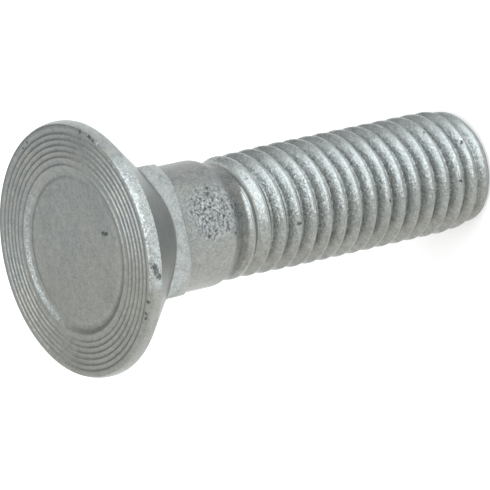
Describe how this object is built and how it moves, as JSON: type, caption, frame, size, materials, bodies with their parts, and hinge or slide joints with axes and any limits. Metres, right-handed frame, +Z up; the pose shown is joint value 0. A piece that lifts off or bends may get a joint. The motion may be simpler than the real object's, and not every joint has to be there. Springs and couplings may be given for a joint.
{
  "type": "countersunk square-neck bolt",
  "caption": "Countersunk bolt standing on its point: ringed and dished flat face, conical seat, forged square neck, plain shank and rolled thread with a rounded point.",
  "frame": {"origin": "middle of the flat end of the point, on the surface that the bolt stands on", "axes": "+Z up along the bolt's axis, from its point to its face; +X and +Y square to the flats of its neck"},
  "size_m": [0.02, 0.02, 0.0383],
  "materials": {
    "zinc_steel": "dull galvanised zinc with small bright rub marks"
  },
  "bodies": {
    "root": {"bolt": "zinc_steel"}
  },
  "joints": []
}
